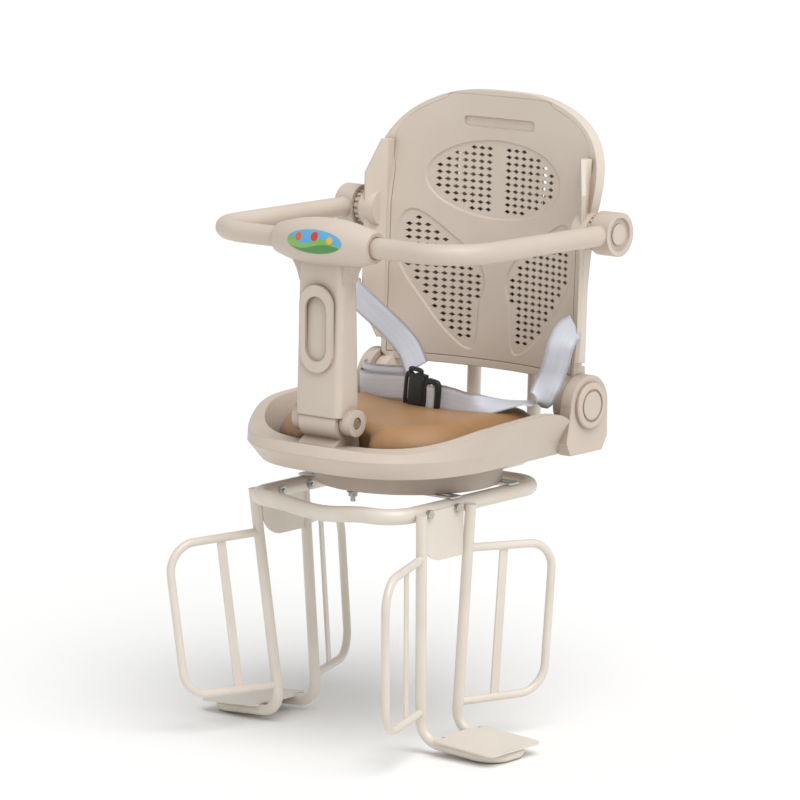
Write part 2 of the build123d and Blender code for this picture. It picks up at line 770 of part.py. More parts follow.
with BuildPart() as t_post:
    with BuildSketch(Plane.YZ.offset(-POST_HALF)):
        with BuildLine():
            Polyline(
                (POST_HINGE[0] - POST_FRONT, POST_HINGE[1] + 7),
                (BAR_AXIS[0] - 15, BAR_AXIS[1] - 10),
                (BAR_AXIS[0] + 15, BAR_AXIS[1] - 10),
                (POST_HINGE[0] + POST_BACK, POST_HINGE[1] + 24),
                (POST_HINGE[0] + POST_BACK, POST_HINGE[1] + 7),
                close=True,
            )
        make_face()
    extrude(amount=2 * POST_HALF)
    upright = t_post.edges().filter_by(lambda edge: abs((edge % 0.5).Z) > 0.9)
    fillet(upright.filter_by(lambda edge: edge.length > 2 * POST_HALF), POST_ROUND)
    with BuildSketch(HEAD):
        with BuildLine():
            flare_end = (HEAD_X - 20, 4 - HEAD_END_R)
            Polyline((0, -HEAD_FLARE), (POST_HALF, -HEAD_FLARE))
            ThreePointArc((POST_HALF, -HEAD_FLARE), (POST_HALF + 5, 10 - HEAD_MID_R - 12), flare_end)
            Polyline(flare_end, (flare_end[0], 0), (0, 0), (0, -HEAD_FLARE))
        make_face()
        mirror(about=Plane.YZ)
    extrude(amount=12, both=True)
    add(head_body(0))
    with Locations((0, POST_HINGE[0], POST_HINGE[1])):
        Cylinder(KNUCKLE_R, 2 * KNUCKLE_X, rotation=(0, 90, 0))
        Cylinder(
            BARREL_R + SWING_GAP,
            2 * PEDESTAL_X + 2 * SWING_GAP,
            rotation=(0, 90, 0),
            mode=Mode.SUBTRACT,
        )
        Cylinder(POST_PIN_R + RUNNING, 3 * KNUCKLE_X, rotation=(0, 90, 0), mode=Mode.SUBTRACT)
    with BuildSketch(Plane.YZ.offset(KNUCKLE_X - POST_HEAD_T - 1), Plane.YZ.offset(-KNUCKLE_X)):
        with Locations(POST_HINGE):
            Circle(POST_HEAD_R + 1)
    extrude(amount=POST_HEAD_T + 1, mode=Mode.SUBTRACT)
    with Locations((0, BAR_AXIS[0], BAR_AXIS[1])):
        Cylinder(BAR_R + BAR_GAP, 3 * HEAD_X, rotation=(0, 90, 0), mode=Mode.SUBTRACT)
    front_y = POST_HINGE[0] - POST_FRONT
    with BuildSketch(Plane(origin=(0, front_y + 2, RING_Z), x_dir=(1, 0, 0), z_dir=(0, -1, 0))):
        SlotOverall(RING_SIZE[1], RING_SIZE[0], rotation=90)
        SlotOverall(RING_GROOVE[1], RING_GROOVE[0], rotation=90, mode=Mode.SUBTRACT)
    extrude(amount=2 + RING_T)
save(t_post.part, "t_post")

with BuildPart() as post_pin:
    with BuildSketch(Plane.YZ.offset(-KNUCKLE_X + 1)):
        with Locations(POST_HINGE):
            Circle(POST_HEAD_R)
    extrude(amount=POST_HEAD_T - 0.5)
    mirror(about=Plane.YZ)
    with BuildSketch(Plane.YZ.offset(-KNUCKLE_X + 1)):
        with Locations(POST_HINGE):
            Circle(POST_PIN_R)
    extrude(amount=2 * KNUCKLE_X - 2)
save(post_pin.part, "post_pin")

# Oval badge on the head.
with BuildPart() as head_badge:
    add(head_body(BADGE_T))
    add(head_body(0), mode=Mode.SUBTRACT)
    with BuildSketch(HEAD):
        with Locations((0, BADGE_UP)):
            Ellipse(BADGE_SIZE[0] / 2, BADGE_SIZE[1] / 2)
    extrude(amount=2 * HEAD_MID_R, mode=Mode.INTERSECT)
save(head_badge.part, "head_badge")

# Leg tube of the right side: two legs and the loop under the foot plate.
leg_top = leg_point(LEG_FRONT, LEG_TOP)
front_foot = leg_point(LEG_FRONT, LEG_FOOT)
rear_foot = leg_point(LEG_REAR, LEG_FOOT)
leg_points = [
    leg_top,
    front_foot,
    (LOOP_OUT, front_foot[1], LEG_FOOT - LOOP_DROP),
    (LOOP_OUT, rear_foot[1], LEG_FOOT - LOOP_DROP),
    rear_foot,
    leg_point(LEG_REAR, LEG_TOP),
]
with BuildPart() as leg_tube:
    with BuildLine() as leg_run:
        bent_path(leg_points, LEG_BEND)
    with BuildSketch(Plane(origin=leg_top, z_dir=leg_run.wires()[0] % 0)):
        Circle(LEG_R)
    sweep(path=leg_run.wires()[0])
save_pair(leg_tube.part, "leg_tube")

# Foot plate on the loop, sloping down outwards.
foot_run = LOOP_OUT - front_foot[0]
foot_gap = rear_foot[1] - front_foot[1]
foot_plane = Plane(origin=front_foot, x_dir=(foot_run, 0, -LOOP_DROP), z_dir=(LOOP_DROP, 0, foot_run))
with BuildPart() as foot_plate:
    with BuildSketch(foot_plane.offset(LEG_R)):
        with Locations((sum(PLATE_X) / 2 - front_foot[0], foot_gap / 2)):
            RectangleRounded(PLATE_X[1] - PLATE_X[0], foot_gap + 2 * PLATE_MARGIN, 10)
        with Locations((0, 0), (0, foot_gap)):
            Rectangle(2 * LEG_BEND + 10, 2 * LEG_R + 3, mode=Mode.SUBTRACT)
    extrude(amount=PLATE_T)
save_pair(foot_plate.part, "foot_plate")

# Tongue plate between the legs, bolted to the rail.
tongue_front = leg_top[1] + LEG_R + 1
tongue_rear = LEG_REAR[0] - LEG_R - 0.5
tongue_x = FRAME_X + RAIL_D / 2
with BuildPart() as tongue_plate:
    with BuildSketch(Plane.YZ.offset(tongue_x)):
        with BuildLine():
            Polyline(
                (tongue_front + TONGUE_SWEEP, TONGUE_LOW),
                (tongue_rear, TONGUE_LOW),
                (tongue_rear, LEG_TOP),
                (tongue_front, LEG_TOP),
                (tongue_front, TONGUE_WAIST),
            )
            ThreePointArc(
                (tongue_front, TONGUE_WAIST),
                (tongue_front + TONGUE_SWEEP / 3, TONGUE_LOW + 10),
                (tongue_front + TONGUE_SWEEP, TONGUE_LOW),
            )
        make_face()
        with Locations(*[(y, RAIL_Z) for y in BOLT_Y]):
            Circle(BOLT_R + BOLT_GAP, mode=Mode.SUBTRACT)
    extrude(amount=TONGUE_T)
    add(leg_tube.part, mode=Mode.SUBTRACT)
save_pair(tongue_plate.part, "tongue_plate")

# Bolts and nuts through the tongue plates and the rails.
with BuildPart() as leg_bolts:
    with BuildSketch(Plane.YZ.offset(tongue_x + TONGUE_T)):
        with Locations(*[(y, RAIL_Z) for y in BOLT_Y]):
            RegularPolygon(HEX_AF / 2, 6, major_radius=False)
    extrude(amount=HEX_T)
    with BuildSketch(Plane.YZ.offset(tongue_x + TONGUE_T)):
        with Locations(*[(y, RAIL_Z) for y in BOLT_Y]):
            Circle(BOLT_R)
    extrude(amount=-(RAIL_D + TONGUE_T + HEX_T + 2))
    mirror(about=Plane.YZ)
save(leg_bolts.part, "leg_bolts")

with BuildPart() as leg_nuts:
    with BuildSketch(Plane.YZ.offset(FRAME_X - RAIL_D / 2 - HEX_T)):
        with Locations(*[(y, RAIL_Z) for y in BOLT_Y]):
            RegularPolygon(HEX_AF / 2, 6, major_radius=False)
            Circle(BOLT_R, mode=Mode.SUBTRACT)
    extrude(amount=HEX_T)
    mirror(about=Plane.YZ)
save(leg_nuts.part, "leg_nuts")

# Wheel guards of the right side: bent rods with a flat bar in each.
for name, side, reach in (("front", LEG_FRONT, FRONT_REACH), ("rear", LEG_REAR, REAR_REACH)):
    run = math.hypot(*reach)
    along = Vector(reach[0] / run, reach[1] / run, 0)
    upper = Vector(*leg_point(side, GUARD_TOP))
    lower = Vector(*leg_point(side, GUARD_LOW))
    outward = Vector(*reach, 0)
    with BuildPart() as guard:
        with BuildLine() as guard_run:
            outer_top = upper + outward - Vector(0, 0, GUARD_DROP)
            bent_path([tuple(upper), tuple(outer_top), tuple(lower + outward), tuple(lower)], GUARD_BEND)
        with BuildSketch(Plane(origin=upper, z_dir=outer_top - upper)):
            Circle(GUARD_R)
        sweep(path=guard_run.wires()[0])
        add(leg_tube.part, mode=Mode.SUBTRACT)
    save_pair(guard.part, f"{name}_guard")
    bar_top = upper + (outer_top - upper) * GUARD_BAR_AT
    bar_low = lower + outward * GUARD_BAR_AT
    bar_axis = (bar_top - bar_low).normalized()
    with BuildPart() as guard_bar:
        with BuildSketch(Plane(origin=bar_low, x_dir=along, z_dir=bar_axis)):
            RectangleRounded(GUARD_BAR_W, GUARD_BAR_T, GUARD_BAR_T / 3)
        extrude(amount=(bar_top - bar_low).length)
        add(guard.part, mode=Mode.SUBTRACT)
    save_pair(guard_bar.part, f"{name}_guard_bar")


def ribbon(start, end, upward):
    """Flat piece of webbing between two points, its width along a direction."""
    start = Vector(*start)
    run = Vector(*end) - start
    across = run.cross(Vector(*upward)).normalized()
    return Plane(origin=start + run * 0.5, x_dir=run, z_dir=across), run.length


def webbing(points, upward):
    """Chain of flat webbing pieces through the points."""
    with BuildPart() as strap:
        for start, end in zip(points, points[1:]):
            place, length = ribbon(start, end, upward)
            with BuildSketch(place):
                Rectangle(length + WEB_T, WEB_W)
            extrude(amount=WEB_T / 2, both=True)
    return strap.part


left_end = (BUCKLE[0] - FEMALE_W - 1.9 * WEB_T, BUCKLE[1], BUCKLE[2] - 2)
right_end = (BUCKLE[0] + MALE_W + WEB_T, BUCKLE[1], BUCKLE[2] - 6)
shoulder_end = (left_end[0] - 3, left_end[1] + 5, left_end[2] + 14)
shoulder_run = [(-145, 140.6, 240), (-128, 104, 226), shoulder_end]
lap_run = [(-145.4, 126, 118), (-90, 70, 120), left_end]
right_run = [(143.5, 134.4, 226), (122, 116, 128), (66, 66, 118), right_end]
save(webbing(shoulder_run, (0, 0, 1)), "left_shoulder_strap")
save(webbing(lap_run, (0, 0, 1)), "left_lap_strap")
save(webbing(right_run, (0, 0.2, 1)), "right_strap")

# Side release buckle: socket half and tongue half.
with BuildPart() as buckle_socket:
    with Locations((BUCKLE[0] - FEMALE_W / 2, BUCKLE[1], BUCKLE[2])):
        Box(FEMALE_W, BUCKLE_T, BUCKLE_H)
    fillet(buckle_socket.edges().filter_by(Axis.Y), 4)
save(buckle_socket.part, "buckle_socket")
with BuildPart() as buckle_tongue:
    with Locations((BUCKLE[0] + MALE_W / 2, BUCKLE[1], BUCKLE[2] - 3)):
        Box(MALE_W, BUCKLE_T - 3, BUCKLE_H - 4)
    fillet(buckle_tongue.edges().filter_by(Axis.Y), 4)
save(buckle_tongue.part, "buckle_tongue")
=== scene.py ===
import math

import bpy
import numpy as np
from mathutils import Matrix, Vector, geometry


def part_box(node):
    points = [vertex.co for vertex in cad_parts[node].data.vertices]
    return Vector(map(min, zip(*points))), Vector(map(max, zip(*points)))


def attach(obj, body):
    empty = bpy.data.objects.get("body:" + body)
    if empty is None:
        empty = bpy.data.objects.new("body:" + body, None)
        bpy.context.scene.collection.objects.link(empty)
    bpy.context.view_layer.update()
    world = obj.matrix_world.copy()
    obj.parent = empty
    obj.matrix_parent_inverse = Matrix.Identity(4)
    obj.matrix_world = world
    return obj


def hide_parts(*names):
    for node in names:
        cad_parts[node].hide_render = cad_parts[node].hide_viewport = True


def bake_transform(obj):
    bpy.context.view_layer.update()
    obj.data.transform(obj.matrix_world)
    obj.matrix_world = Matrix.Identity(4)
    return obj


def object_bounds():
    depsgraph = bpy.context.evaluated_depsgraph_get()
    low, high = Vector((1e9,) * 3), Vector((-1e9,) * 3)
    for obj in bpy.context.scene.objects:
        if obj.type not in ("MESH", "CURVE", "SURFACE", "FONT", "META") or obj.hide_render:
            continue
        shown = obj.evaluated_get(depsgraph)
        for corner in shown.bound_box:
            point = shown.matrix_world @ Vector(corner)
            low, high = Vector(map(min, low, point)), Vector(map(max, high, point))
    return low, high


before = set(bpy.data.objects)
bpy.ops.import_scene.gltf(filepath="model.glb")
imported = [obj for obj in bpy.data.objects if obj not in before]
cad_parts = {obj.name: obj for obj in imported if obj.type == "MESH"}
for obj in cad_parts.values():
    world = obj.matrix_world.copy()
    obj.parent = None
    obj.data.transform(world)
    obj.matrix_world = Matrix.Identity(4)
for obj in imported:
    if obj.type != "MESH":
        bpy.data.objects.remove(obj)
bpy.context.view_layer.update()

# Seat pan, base disc, post, backrest, caps and the sleeve of the guard bar: beige
# polypropylene mouldings with a fine satin grain and small rounded edges. They are
# clipped and pinned together; the caps cover the hinge pins.
PLASTIC_GRAIN = 0.0009
PLASTIC_EDGE = 0.0022
CRISP_EDGE = 0.0005
# Each tuple holds two drift colours and the colour of the painted shade in corners and hollows.
PLASTIC = ("#D4C7BA", "#CABCAE", "#8F7D6C")
# Painted light: the backrest's shell, panel and pivot rings are lighter than the pan and post,
# standing in for the extra light that falls on them.
BACKREST_PAINTED_LIGHT_PLASTIC = ("#DFD3C6", "#D8CCBE", "#C2B09E")
CRISP_PAINTED_LIGHT_PLASTIC = ("#DCD0C3", "#D4C7B9", "#A89683")
# Painted shadow: the base disc is darker, as the seat pan shades it from above.
SHADED_DISC_PLASTIC = ("#CDC0B2", "#C3B5A6", "#8A7867")
CRISP_NODES = ["pivot_ring_left", "pivot_ring_right"]
PLASTIC_NODES = [
    "seat_pan",
    "t_post",
    "hinge_cap_left",
    "hinge_cap_right",
    "drum_cap_left",
    "drum_cap_right",
    "armrest_bar",
]


def linear(code):
    """Linear colour of an sRGB hex code: each channel is undone by the sRGB curve."""
    channels = [int(code[i : i + 2], 16) / 255 for i in (1, 3, 5)]
    low = [c / 12.92 for c in channels]
    high = [((c + 0.055) / 1.055) ** 2.4 for c in channels]
    return [h if c > 0.04045 else l for c, l, h in zip(channels, low, high)] + [1.0]


def put(tree, kind, inputs=None, **settings):
    """Adds one shader node, with its settings, its constants and its incoming links."""
    made = tree.nodes.new("ShaderNode" + kind)
    for name, value in settings.items():
        setattr(made, name, value)
    for socket, value in (inputs or {}).items():
        if isinstance(value, tuple) and isinstance(value[0], bpy.types.Node):
            tree.links.new(value[0].outputs[value[1]], made.inputs[socket])
        else:
            made.inputs[socket].default_value = value
    return made


def blank(name):
    """A new material with an empty node tree."""
    made = bpy.data.materials.new(name)
    made.use_nodes = True
    made.node_tree.nodes.clear()
    return made, made.node_tree


def ramp(tree, factor, low, high, start, end):
    """Colour ramp from one hex colour at its start to another at its end."""
    made = put(tree, "ValToRGB", {0: factor})
    made.color_ramp.elements[0].position = start
    made.color_ramp.elements[1].position = end
    made.color_ramp.elements[0].color = linear(low)
    made.color_ramp.elements[1].color = linear(high)
    return made


def close(tree, shader):
    """Links the last shader to the material's output."""
    put(tree, "OutputMaterial", {"Surface": (shader, 0)})


def moulded_plastic(name, edge_radius, lit, shade, corner_shade_colour):
    """Satin polypropylene: a slow colour drift, a fine spark grain, uneven gloss, painted shade
    that darkens corners and hollows towards the corner colour, and edges that catch light as if
    rounded by the given radius."""
    made, tree = blank(name)
    place = put(tree, "TexCoord")
    drift = put(tree, "TexNoise", {"Vector": (place, 3), "Scale": 9.0, "Detail": 3.0})
    grain = put(
        tree, "TexNoise", {"Vector": (place, 3), "Scale": 1 / PLASTIC_GRAIN, "Detail": 4.0}
    )
    # Painted shade: ambient occlusion mixes the corner colour into corners, creases and hollows.
    corner = put(tree, "AmbientOcclusion", {"Distance": 0.05}, samples=8)
    colour = ramp(tree, (drift, 0), shade, lit, start=0.3, end=0.75)
    painted_corner_shade = put(
        tree,
        "Mix",
        {0: (corner, 1), 6: linear(corner_shade_colour), 7: (colour, 0)},
        data_type="RGBA",
    )
    gloss = put(tree, "MapRange", {0: (drift, 0), 3: 0.36, 4: 0.5})
    edge = put(tree, "Bevel", {"Radius": edge_radius}, samples=6)
    bump = put(
        tree,
        "Bump",
        {"Strength": 0.12, "Distance": 0.0002, "Height": (grain, 0), "Normal": (edge, 0)},
    )
    shader = put(
        tree,
        "BsdfPrincipled",
        {
            "Base Color": (painted_corner_shade, 2),
            "Roughness": (gloss, 0),
            "IOR": 1.49,
            "Subsurface Weight": 0.04,
            "Subsurface Radius": (0.004, 0.003, 0.002),
            "Normal": (bump, 0),
        },
    )
    close(tree, shader)
    return made


def paint(names, finish):
    """Gives one finish to all the named nodes."""
    for name in names:
        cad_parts[name].data.materials.clear()
        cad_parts[name].data.materials.append(finish)


plastic = moulded_plastic("beige polypropylene", PLASTIC_EDGE, *PLASTIC)
# Painted light on the backrest: lighter copies of the plastic for its shell, its panel and the
# rings.
backrest_painted_light_plastic = moulded_plastic("beige polypropylene with painted light", PLASTIC_EDGE, *BACKREST_PAINTED_LIGHT_PLASTIC)
crisp_painted_light_plastic = moulded_plastic("crisp beige polypropylene with painted light", CRISP_EDGE, *CRISP_PAINTED_LIGHT_PLASTIC)
# Painted shadow on the base disc: a darker copy of the plastic.
shaded_disc_plastic = moulded_plastic("beige polypropylene with painted shade", PLASTIC_EDGE, *SHADED_DISC_PLASTIC)
paint(PLASTIC_NODES, plastic)
paint(CRISP_NODES, crisp_painted_light_plastic)
paint(["backrest_shell"], backrest_painted_light_plastic)
paint(["base_disc"], shaded_disc_plastic)

# Backrest panel: a thin curved moulding clipped into the shell. An oval field and two lower
# ones are sunk into its front and pierced by rows of diamond holes, and a long grip is sunk
# near the top, where its edge closes up against the shell.
BACK_AT = np.array([0.0, 0.180, 0.154])
BACK_LEAN = math.radians(1.95)
BACK_UP = np.array([0.0, math.sin(BACK_LEAN), math.cos(BACK_LEAN)])
BACK_REAR = np.array([0.0, math.cos(BACK_LEAN), -math.sin(BACK_LEAN)])
BACK_LEVELS = np.array([-0.022, 0.170, 0.313])
BACK_RADII = np.array([0.340, 0.360, 2.500])
BACK_REACH = 0.200
BACK_ROUNDS = 5
PANEL_THICK = 0.0035
PANEL_LOW = -0.012
PANEL_SIDE = [(0.140, 0.205), (0.147, 0.240), (0.128, 0.275), (0.080, 0.299), (0.0, 0.306)]
PANEL_PULL = (1.4, 3.6)
PANEL_HALF = (0.147, 0.101)
PANEL_CLOSE = 0.0007
PANEL_CLOSE_OVER = 0.05
PANEL_PITCH = 0.006
PANEL_GRID = ((-0.144, 0.145), (-0.006, 0.305))
PANEL_CLEAR = 0.0024
PANEL_MERGE = 1e-7
PANEL_CREASE = math.radians(20)
EDGE_STEPS = 120
WALL_STEPS = 37
FLOOR_STEPS = 47
RING_STEPS = 120
FIELD_STEPS = 200
HOLE_HALF = (0.0045, 0.0026)
HOLE_PITCH = (0.0116, 0.0082)
HOLE_FIRST = 0.0145
HOLE_COLUMNS = 11
HOLE_ROWS = (-25, 5)
HOLE_OVAL = (0.096, 0.042)
OVAL_Z = 0.206
FIELD_RIM = 0.006
FIELD_SLOPE = 0.0022
FIELD_DEPTH = 0.0015
HOLE_FIELD = [
    (0.114, 0.158),
    (0.060, 0.127),
    (0.033, 0.107),
    (0.021, 0.083),
    (0.028, 0.054),
    (0.031, 0.011),
    (0.040, 0.004),
    (0.067, 0.023),
    (0.093, 0.053),
    (0.120, 0.090),
    (0.129, 0.124),
]
GRIP_Z = 0.274
GRIP_HALF = (0.053, 0.0068)
GRIP_DEPTH = 0.0024
GRIP_SLOPE = 0.0012
GRIP_SQUARE = (0.12, 0.5)


def back_sag(x, level):
    """Rearward offset of the front face from its middle, below zero where the sides curl
    forward: straight lines join each arc to the one above, at the same share of both."""
    upper = np.clip(np.searchsorted(BACK_LEVELS, level), 1, 2)
    low, high = BACK_RADII[upper - 1], BACK_RADII[upper]
    rise = (level - BACK_LEVELS[upper - 1]) / (BACK_LEVELS[upper] - BACK_LEVELS[upper - 1])
    low_turn, high_turn = np.arcsin(BACK_REACH / low), np.arcsin(BACK_REACH / high)
    share = x / BACK_REACH
    for _ in range(BACK_ROUNDS):
        low_x = low * np.sin(share * low_turn)
        high_x = high * np.sin(share * high_turn)
        share = share + (x - (1 - rise) * low_x - rise * high_x) / BACK_REACH
    low_y = low * (np.cos(share * low_turn) - 1)
    high_y = high * (np.cos(share * high_turn) - 1)
    return (1 - rise) * low_y + rise * high_y


def back_place(x, level, depth):
    """World place of a point at a depth behind the panel's front face."""
    y = depth + back_sag(x, level)
    across = x[..., None] * [1, 0, 0]
    up = level[..., None] * BACK_UP
    rear = y[..., None] * BACK_REAR
    return BACK_AT + across + up + rear


def clamped_spline(points, steps):
    """Cubic spline by chord length: slopes solve the equations of an even bend, with the
    first one upright and the last one level, of the strengths given."""
    points = np.array(points)
    gap = np.linalg.norm(np.diff(points, axis=0), axis=1)
    count = len(points)
    system = np.eye(count)
    slope = np.zeros((count, 2))
    slope[0], slope[-1] = (0, PANEL_PULL[0]), (-PANEL_PULL[1], 0)
    for k in range(1, count - 1):
        system[k, k - 1 : k + 2] = gap[k], 2 * (gap[k - 1] + gap[k]), gap[k - 1]
        rise = (points[k] - points[k - 1]) / gap[k - 1] * gap[k]
        slope[k] = 3 * (rise + (points[k + 1] - points[k]) / gap[k] * gap[k - 1])
    slope = np.linalg.solve(system, slope)
    place = np.linspace(0, count - 1, steps + 1)
    k = np.minimum(place.astype(int), count - 2)
    t = (place - k)[:, None]
    span = gap[k, None]
    start = (2 * t**3 - 3 * t**2 + 1) * points[k] + (t**3 - 2 * t**2 + t) * span * slope[k]
    return start + (3 * t**2 - 2 * t**3) * points[k + 1] + (t**3 - t**2) * span * slope[k + 1]


def curve_at(place, ends, spans):
    """Catmull-Rom curve at the given places: each span is a cubic of its four neighbours."""
    index = np.minimum(place.astype(int), spans - 1)
    t = (place - index)[:, None]
    a, b, c, d = (ends[index + k] for k in range(4))
    cubic = 2 * b + (c - a) * t + (2 * a - 5 * b + 4 * c - d) * t**2
    return (cubic + (3 * b - a - 3 * c + d) * t**3) / 2


def closed_run(points, steps):
    """Smooth ring through the points: the curve of even places along its closed spans."""
    ends = np.vstack([points[-1:], points, points[:2]])
    spans = len(points)
    return curve_at(np.linspace(0, spans, steps + 1)[:-1], ends, spans)


def moved_in(ring, amount):
    """A counter-clockwise ring of points moved inwards along its normals."""
    along = np.roll(ring, -1, axis=0) - np.roll(ring, 1, axis=0)
    along /= np.linalg.norm(along, axis=1)[:, None]
    return ring + amount * np.stack([-along[:, 1], along[:, 0]], axis=-1)


def inside(ring, x, z):
    """True where a point lies in a ring: a line to its right crosses the ring an odd number
    of times. Level edges are never crossed and get a tiny drop to divide by."""
    ahead = np.roll(ring, -1, axis=0)
    across = (ring[:, 1] > z[:, None]) != (ahead[:, 1] > z[:, None])
    drop = np.where(ahead[:, 1] == ring[:, 1], 1e-9, ahead[:, 1] - ring[:, 1])
    cut = ring[:, 0] + (ahead[:, 0] - ring[:, 0]) * (z[:, None] - ring[:, 1]) / drop
    return np.sum(across & (x[:, None] < cut), axis=1) % 2 == 1


def power(value, share):
    """Signed power of a cosine or sine, which squares up a circle."""
    return np.sign(value) * np.abs(value) ** share


def panel_outline():
    """Closed outline: an upright side, the upper edge's spline pushed out towards the shell,
    both mirrored, and a level lower edge."""
    side = clamped_spline(PANEL_SIDE, EDGE_STEPS)
    grow = PANEL_CLOSE * np.clip((side[:, 1] - OVAL_Z) / PANEL_CLOSE_OVER, 0, 1)
    side += grow[:, None] * ((side - (0, OVAL_Z)) / PANEL_HALF)
    wall = np.linspace(PANEL_LOW, side[0, 1], WALL_STEPS + 1)[:-1]
    right = np.vstack([np.stack([np.full_like(wall, side[0, 0]), wall], axis=-1), side])
    left = right[::-1] * (-1, 1)
    floor_x = np.linspace(left[-1, 0], right[0, 0], FLOOR_STEPS + 1)[1:-1]
    bottom = np.stack([floor_x, np.full_like(floor_x, PANEL_LOW)], axis=-1)
    return np.vstack([right, left[1:], bottom])


def sunk_rings():
    """Rings of the oval, the two lower fields and the squared grip, each with the width of
    its sloped edge and its depth."""
    turn = np.linspace(0, 2 * math.pi, RING_STEPS + 1)[:-1, None]
    circle = np.hstack([np.cos(turn), np.sin(turn)])
    oval = (0, OVAL_Z) + circle * (HOLE_OVAL[0] + FIELD_RIM, HOLE_OVAL[1] + FIELD_RIM)
    lower = moved_in(closed_run(np.array(HOLE_FIELD), FIELD_STEPS), -FIELD_RIM)
    grip = (0, GRIP_Z) + power(circle, GRIP_SQUARE) * GRIP_HALF
    fields = [(ring, FIELD_SLOPE, FIELD_DEPTH) for ring in (oval, lower, lower[::-1] * (-1, 1))]
    return fields + [(grip, GRIP_SLOPE, GRIP_DEPTH)]


def hole_spots():
    """Middles of the holes: an even lattice, kept inside the oval and the lower field of the
    right side, and its mirror image."""
    column, row = np.meshgrid(np.arange(HOLE_COLUMNS), np.arange(*HOLE_ROWS))
    x = HOLE_FIRST + column.ravel() * HOLE_PITCH[0]
    z = OVAL_Z + (row.ravel() + 0.5) * HOLE_PITCH[1]
    pierced = (x / HOLE_OVAL[0]) ** 2 + ((z - OVAL_Z) / HOLE_OVAL[1]) ** 2 < 1
    pierced |= inside(np.array(HOLE_FIELD), x, z)
    spots = np.stack([x[pierced], z[pierced]], axis=-1)
    return np.vstack([spots, spots * (-1, 1)])


def panel_lines(outline, sunk, spots):
    """Points of all rings with their depths, and the edges that close each ring: the outline,
    both edges of each slope, and the diamonds."""
    diamond = np.array([(1, 0), (0, 1), (-1, 0), (0, -1)]) * HOLE_HALF
    rings = [outline]
    depths = [np.zeros(len(outline))]
    for ring, slope, depth in sunk:
        rings += [ring, moved_in(ring, slope)]
        depths += [np.zeros(len(ring)), np.full(len(ring), depth)]
    rings += [spot + diamond for spot in spots]
    depths += [np.full(len(diamond), FIELD_DEPTH)] * len(spots)
    starts = np.cumsum([0] + [len(ring) for ring in rings[:-1]])
    orders = [start + np.arange(len(ring)) for start, ring in zip(starts, rings)]
    edges = np.vstack([np.stack([order, np.roll(order, -1)], axis=-1) for order in orders])
    return np.vstack(rings), np.concatenate(depths), edges.tolist()


def panel_grid(outline, sunk, lines):
    """Even grid of points clear of all rings, each as deep as the sunk ring that holds it."""
    x, z = np.meshgrid(*[np.arange(*reach, PANEL_PITCH) for reach in PANEL_GRID])
    grid = np.stack([x.ravel(), z.ravel()], axis=-1)
    gaps = np.linalg.norm(grid[:, None] - lines[None], axis=2).min(axis=1)
    grid = grid[inside(outline, grid[:, 0], grid[:, 1]) & (gaps > PANEL_CLEAR)]
    depths = np.zeros(len(grid))
    for ring, slope, depth in sunk:
        held = inside(moved_in(ring, slope), grid[:, 0], grid[:, 1])
        depths = np.where(held, depth, depths)
    return grid, depths


def perforated_sheet():
    """Flat triangles between the rings and an even grid of points, apart from those in the
    holes: gives the flat points, their depths and the triangles."""
    outline = panel_outline()
    sunk = sunk_rings()
    spots = hole_spots()
    lines, line_depths, edges = panel_lines(outline, sunk, spots)
    grid, grid_depths = panel_grid(outline, sunk, lines)
    known = np.concatenate([line_depths, grid_depths])
    corners = [Vector(point) for point in np.vstack([lines, grid]).tolist()]
    points, _, faces, origins, *_ = geometry.delaunay_2d_cdt(corners, edges, [], 0, PANEL_MERGE)
    flat = np.array([tuple(point) for point in points])
    depth = np.array([known[origin[0]] if origin else FIELD_DEPTH for origin in origins])
    faces = np.array(faces)
    middle = flat[faces].mean(axis=1)
    away = np.abs(middle[:, None] - spots[None]) / HOLE_HALF
    solid = inside(outline, middle[:, 0], middle[:, 1]) & (away.sum(axis=2).min(axis=1) > 1)
    return flat, depth, faces[solid]


def perforated_panel():
    """The flat triangles laid on the curved face with each point's depth, and closed by a
    back and by walls along the free edges, which have a triangle on one side only."""
    flat, depth, faces = perforated_sheet()
    sides = np.vstack([faces[:, [0, 1]], faces[:, [1, 2]], faces[:, [2, 0]]])
    count = len(flat)
    codes = sides[:, 0] * count + sides[:, 1]
    free = sides[~np.isin(codes, sides[:, 1] * count + sides[:, 0])]
    walls = np.stack([free[:, 1], free[:, 0], free[:, 0] + count, free[:, 1] + count], axis=-1)
    front = back_place(flat[:, 0], flat[:, 1], depth)
    rear = back_place(flat[:, 0], flat[:, 1], np.full(count, PANEL_THICK))
    mesh = bpy.data.meshes.new("backrest_panel_face")
    every = faces.tolist() + (faces[:, ::-1] + count).tolist() + walls.tolist()
    mesh.from_pydata(np.vstack([front, rear]).tolist(), [], every)
    mesh.shade_smooth()
    mesh.set_sharp_from_angle(angle=PANEL_CREASE)
    made = bpy.data.objects.new("backrest_panel_face", mesh)
    bpy.context.collection.objects.link(made)
    return made


panel = perforated_panel()
panel.data.materials.append(crisp_painted_light_plastic)
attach(panel, "backrest")
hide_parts("backrest_panel")

# Rack frame, leg frames, guards and rear hoop: bent steel tube and rod,
# welded and powder coated in a cream gloss that is a little lighter than the plastic.
STEEL_LIT = "#E2D9CE"
STEEL_SHADE = "#D9CFC2"
ORANGE_PEEL = 0.004
STEEL_NODES = [
    "mount_frame",
    "back_hoop",
    "leg_tube_left",
    "leg_tube_right",
    "foot_plate_left",
    "foot_plate_right",
    "tongue_plate_left",
    "tongue_plate_right",
    "front_guard_left",
    "front_guard_right",
    "front_guard_bar_left",
    "front_guard_bar_right",
    "rear_guard_left",
    "rear_guard_right",
    "rear_guard_bar_left",
    "rear_guard_bar_right",
]


